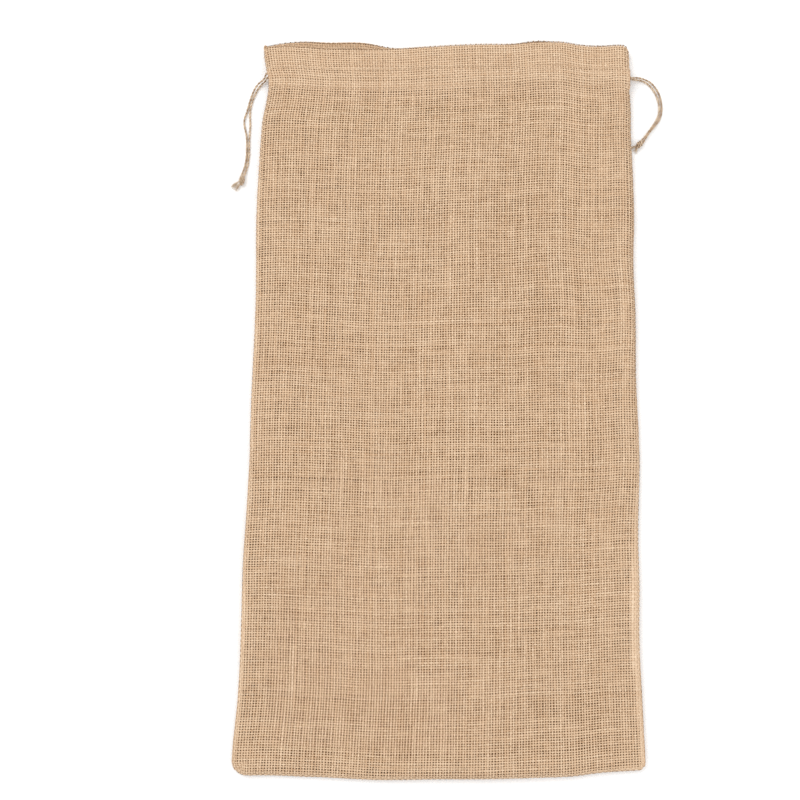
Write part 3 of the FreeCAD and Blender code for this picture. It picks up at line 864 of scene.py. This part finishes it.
def make_knot(name, node, heading):
    """An overhand knot of the doubled strand: slanting wraps round the strands inside."""
    centre = np.array(middle(node))
    ahead = normalised(np.array([*heading, 0.0]))
    side = np.array([-ahead[1], ahead[0], 0.0])
    up = np.array([0.0, 0.0, 1.0])
    turns = np.linspace(-KNOT_TURNS, KNOT_TURNS, 60)[:, None]
    angle = turns * 2 * math.pi
    radius = KNOT_RADIUS * (1 - KNOT_TAPER * np.abs(turns))
    knot = TubeMesh(name)
    for shift in (-WRAP_SHIFT, WRAP_SHIFT):
        lengthwise = turns * KNOT_PITCH + shift + KNOT_SLANT * radius * np.cos(angle)
        line = (centre + ahead * lengthwise + side * radius * np.cos(angle)
                + up * radius * KNOT_FLATNESS * np.sin(angle))
        line[:, 2] = np.maximum(line[:, 2], LOWEST_WRAP)
        knot.add_strand(line, phase=3 * shift / MM, tone=0.45, fuzz=14)
    # The two strands inside come closer together and lower towards the frayed ends.
    for shift in (-CORE_SHIFT, CORE_SHIFT):
        start = centre - ahead * CORE_BACK + side * shift
        end = centre + ahead * CORE_AHEAD + side * shift * 0.7 - up * 0.9 * MM
        core = start + (end - start) * np.linspace(0, 1, 14)[:, None]
        knot.add_strand(core, phase=2 * shift / MM, tone=0.35, fuzz=6)
    return knot.build(materials["jute"])


def make_frayed_ends(name, knot_node, node, fan_out):
    """The strand ends past the knot, untwisted into loose fibres."""
    low, high = (np.array(corner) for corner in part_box(node))
    knot = np.array(middle(knot_node))
    tips = np.array([low[0], low[1] * 0.6 + high[1] * 0.4, low[2] + 1.0 * MM])
    length = np.linalg.norm(tips - knot)
    ahead = normalised(tips - knot)
    side = np.array([-ahead[1], ahead[0], 0.0])
    steps = np.linspace(0, 1, FRAY_POINTS)[:, None]
    taper = np.linspace(1, 0.5, FRAY_POINTS)
    ends = TubeMesh(name)
    for strand_side in (-1, 1):
        fan = side * fan_out * strand_side
        for _ in range(FRAY_FIBRES):
            spread = side * rng.normal(0, 0.09) + np.array([0, 0, rng.uniform(-0.10, 0.12)])
            reach = length * rng.uniform(0.60, 1.05) - FRAY_START
            start = knot + ahead * FRAY_START + side * strand_side * 0.9 * MM
            start = start + side * rng.uniform(-0.5, 0.5) * MM
            bend = side * rng.normal(0, 1.2) * MM
            line = start + (ahead + fan + spread) * reach * steps + bend * steps ** 2
            line[:, 2] = np.maximum(line[:, 2], LOWEST_FRAY)
            thick = rng.uniform(0.12, 0.22) * MM
            ends.add(line, thick * taper, rng.uniform(0.25, 0.75), ring=5)
    return ends.build(materials["jute"])


def straight_run(name, node):
    """The strand along its channel."""
    (low_x, _, _), (high_x, _, _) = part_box(node)
    _, y, z = middle(node)
    run = TubeMesh(name)
    run.add_strand(np.array([[low_x, y, z], [high_x, y, z]]))
    return run.build(materials["jute"])


def half_turn(name, node, far_side):
    """The strand's way round inside the far side seam, from front channel to back."""
    low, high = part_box(node)
    _, y, z = middle(node)
    radius = (high[2] - low[2] - STRAND) / 2
    start_x = low[0] if far_side > 0 else high[0]
    angles = np.linspace(math.pi / 2, -math.pi / 2, 24)
    line = np.stack([start_x + far_side * radius * np.cos(angles),
                     np.full(len(angles), y), z + radius * np.sin(angles)], axis=1)
    turn = TubeMesh(name)
    turn.add_strand(line, tone=0.4)
    return turn.build(materials["jute"])


def stand_in(piece, body, node):
    """Lets a piece ride on a body in place of one CAD node."""
    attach(piece, body)
    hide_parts(node)
    return piece


def make_drawstring(side_name, side, knot_heading, fan_out):
    """All of one string. Its half turn stays with the bag, and the rest slides as one body."""
    name = f"{side_name}_drawstring"
    for where in ("front", "back"):
        node = f"{name}_{where}_run"
        stand_in(straight_run(f"{node}_strand", node), name, node)
    turn = half_turn(f"{name}_turn_strand", f"{name}_turn", -side)
    stand_in(turn, "bag", f"{name}_turn")

    knot_node, fray_node = f"{name}_knot", f"{name}_frayed_ends"
    knot = make_knot(f"{name}_overhand_knot", knot_node, knot_heading)
    stand_in(knot, name, knot_node)
    fray = make_frayed_ends(f"{name}_frayed_fibres", knot_node, fray_node, fan_out)
    stand_in(fray, name, fray_node)

    for where, phase, tone in (("front", 1.0, 0.38), ("back", 2.4, 0.66)):
        node = f"{name}_{where}_tail"
        path = nurbs_points(ROUTES[node])
        tail = TubeMesh(f"{node}_strand")
        tail.add_strand(path, phase, tone, fuzz=TAIL_FUZZ)
        strand = stand_in(tail.build(materials["jute"]), name, node)


# ---------------------------------------------------------------- stitching

STITCH = 4.2 * MM           # from one stitch to the next
STITCH_GAP = 0.9 * MM
STITCH_RADIUS = 0.26 * MM
STITCH_ARCH = np.array([-0.7, -0.05, 0.12, 0.12, -0.05, -0.7]) * MM     # height over the cloth
ROW_INSET = 4 * MM          # from the side of the mouth in to the end of each row
FIRST_STITCH = 2 * MM       # from the row's end
LOWEST_THREAD = 0.45 * MM   # keeps the back panel's thread above the floor
SEAM_INSET = 1.0 * MM       # from the seam in to its thread, in the cloth
GAP_FROM_MOUTH = 22 * MM, 40 * MM   # the cord gap's two ends, where the seam's thread stops


def row_of_stitches(name, node, line, outward):
    """A row of short stitches on the cloth, each arched between its two needle holes."""
    points, gone = evenly(line, 0.5 * MM)
    row = TubeMesh(name)
    start = FIRST_STITCH
    while start + STITCH < gone[-1]:
        length = (STITCH - STITCH_GAP) * rng.uniform(0.9, 1.1)
        places = start + np.linspace(0, 1, len(STITCH_ARCH)) * length
        dash = np.stack([np.interp(places, gone, points[:, k]) for k in range(3)], axis=1)
        row.add(dash + np.array(outward) * STITCH_ARCH[:, None], STITCH_RADIUS, ring=6)
        start += STITCH
    stand_in(row.build(materials["thread"]), "bag", node)


def make_hem_rows(panel, shape, up):
    """One panel's two rows through its hem, above and below the cord channel."""
    reach = MOUTH_HALF_WIDTH - ROW_INSET
    across = np.linspace(-reach, reach, 160)
    for row, row_y in (("header", HEADER_ROW_Y), ("channel", CHANNEL_ROW_Y)):
        along = shape.MOUTH_FOLD - (MOUTH_Y - row_y)
        line, _ = shape(across, np.full(len(across), along))
        line[:, 2] += (OVER_UNDER + 0.1 * MM) * up
        line[:, 2] = np.maximum(line[:, 2], LOWEST_THREAD)
        row_of_stitches(f"{panel}_{row}_stitches", f"{panel}_{row}_stitching", line, (0, 0, up))


def make_seam_rows(shape):
    """Both side seams, below and above the cord gaps, and the seam along the base."""
    gap_top, gap_bottom = GAP_FROM_MOUTH
    for side_name, side in (("left", -1), ("right", 1)):
        for part, low, high in (("side", max(BASE_CORNERS), LENGTH - gap_bottom),
                                ("header_seam", LENGTH - gap_top, LENGTH - 3 * MM)):
            along = np.linspace(low, high, 120)
            across = side * (half_width(BASE_Y + along) - ROLL_REACH + ROLL_ARC - SEAM_INSET)
            line, _ = shape(across, along)
            row_of_stitches(f"{side_name}_{part}_stitches", f"{side_name}_{part}_stitching",
                            line, (side, 0, 0))
    reach = BASE_HALF_WIDTH - max(BASE_CORNERS)
    across = np.linspace(-reach, reach, 160)
    line, _ = shape(across, np.full(len(across), 0.5 * MM))
    row_of_stitches("base_stitches", "base_stitching", line, (0, -1, 0))


# ---------------------------------------------------------------- stage, light, camera


def make_stage():
    bpy.ops.mesh.primitive_plane_add(size=8, location=(0, 0, -0.4 * MM))
    floor = bpy.context.object
    floor.name = "floor"
    material, _, shader = new_material("floor")
    shader.inputs["Base Color"].default_value = (0.93, 0.93, 0.93, 1)
    floor.data.materials.append(material)

    world = bpy.data.worlds.new("studio")
    bpy.context.scene.world = world
    world.use_nodes = True
    background = world.node_tree.nodes["Background"]
    background.inputs["Color"].default_value = (1, 1, 1, 1)
    background.inputs["Strength"].default_value = 0.97
    add_softbox("key_softbox", (-1.3, 1.1, 2.3), size=1.8, power=30.0)
    add_softbox("fill_softbox", (1.6, -0.9, 2.2), size=2.0, power=12.0)


def add_softbox(name, place, size, power):
    """A square light that faces the middle of the bag."""
    light = bpy.data.lights.new(name, "AREA")
    light.size = size
    light.energy = power
    lamp = bpy.data.objects.new(name, light)
    lamp.location = place
    x, y, z = place
    lamp.rotation_euler = math.atan2(math.hypot(x, y), z), 0, math.atan2(-y, -x) - math.pi / 2
    bpy.context.scene.collection.objects.link(lamp)


def make_camera():
    camera = bpy.data.cameras.new("camera")
    camera.sensor_width = 36.0
    camera.lens = 55.0
    holder = bpy.data.objects.new("camera", camera)
    holder.location = (-36.7 * MM, -157.7 * MM, 1096 * MM)
    holder.rotation_euler = (math.radians(8.0), 0, math.radians(0.82))
    bpy.context.scene.collection.objects.link(holder)
    bpy.context.scene.camera = holder
    bpy.context.scene.view_settings.view_transform = "Standard"
    # The weave is finer than the denoiser's guide passes can hold, and they would smear it.
    bpy.context.scene.cycles.denoising_input_passes = "RGB"


# ---------------------------------------------------------------- the bag

make_camera()
make_stage()
make_drawstring("left", -1, knot_heading=(-0.25, -0.97), fan_out=0.17)
make_drawstring("right", 1, knot_heading=(-0.8, -0.6), fan_out=0.34)

# Both panels are cut to one size, a little narrower at the mouth than at the base.
front_shape, back_shape = PanelShape(front=True), PanelShape(front=False)
back_cloth = weave_panel("back_panel_cloth", back_shape, round_yarns=False)
front_cloth = weave_panel("front_panel_cloth", front_shape, round_yarns=True)
for cloth, node, rests_on in ((back_cloth, "back_panel", []),
                              (front_cloth, "front_panel", ["back_panel_cloth"])):
    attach(cloth, "bag")
    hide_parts(node)
make_hem_rows("front", front_shape, up=1)
make_hem_rows("back", back_shape, up=-1)
make_seam_rows(front_shape)
